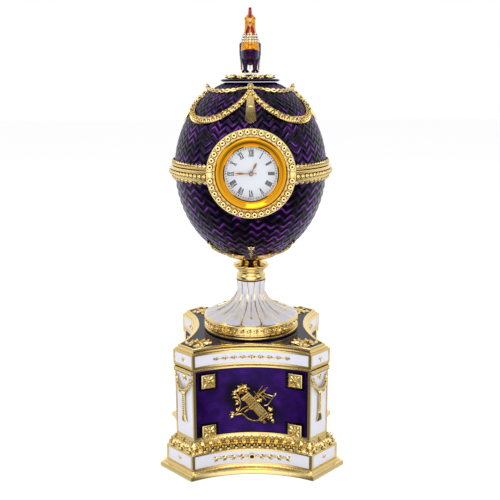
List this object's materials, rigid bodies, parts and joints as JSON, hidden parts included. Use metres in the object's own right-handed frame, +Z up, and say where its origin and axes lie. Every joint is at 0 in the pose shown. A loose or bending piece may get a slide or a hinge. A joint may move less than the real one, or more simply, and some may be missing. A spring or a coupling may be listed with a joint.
{
  "type": "enamelled egg clock",
  "caption": "Hollow enamelled egg with a lift-off lid and a round clock in its front, a cockerel on top, on a fluted foot and a pedestal with hollow sides.",
  "frame": {"origin": "middle of the pedestal's flat underside", "axes": "+Z up along the egg's axis, the clock faces -Y, +X is to the right of someone who looks at the dial"},
  "size_m": [0.1016, 0.1016, 0.2462],
  "materials": {
    "pedestal_enamel": "glossy enamel over engine-turned cast metal, with gilt mouldings",
    "white_enamel": "glossy white enamel with gilt ridges",
    "gilt": "bright gold plate on cast metal",
    "violet_enamel": "translucent violet enamel over engine turning, with gilt ornament",
    "cockerel_enamel": "hand-painted glossy enamel on a gilt casting",
    "steel_can": "plain pressed steel",
    "gold_bezel": "polished gold plate",
    "clock_glass": "clear flat glass",
    "white_dial": "white painted dial with grey numerals",
    "bronzed_hands": "bronzed brass"
  },
  "bodies": {
    "root": {"pedestal": "pedestal_enamel", "foot": "white_enamel", "collar": "gilt", "egg_bowl": "violet_enamel", "egg_lid": "violet_enamel", "wreath": "gilt", "cockerel": "cockerel_enamel", "clock_case": "steel_can", "clock_bezel": "gold_bezel", "clock_glass": "clock_glass", "clock_dial": "white_dial"},
    "hour_hand": {"hour_hand": "bronzed_hands"},
    "minute_hand": {"minute_hand": "bronzed_hands"},
    "second_hand": {"second_hand": "bronzed_hands"}
  },
  "joints": [
    {"name": "hour_turn", "type": "hinge", "parent": "root", "child": "hour_hand", "pos_m": [0, -0.04, 0.1634], "axis": [0, 1, 0], "continuous": true},
    {"name": "minute_turn", "type": "hinge", "parent": "root", "child": "minute_hand", "pos_m": [0, -0.04, 0.1634], "axis": [0, 1, 0], "continuous": true},
    {"name": "second_turn", "type": "hinge", "parent": "root", "child": "second_hand", "pos_m": [0, -0.04, 0.1634], "axis": [0, 1, 0], "continuous": true}
  ],
  "couplings": [
    {"joint": "hour_turn", "follows": "minute_turn", "ratio": 0.083333}
  ]
}
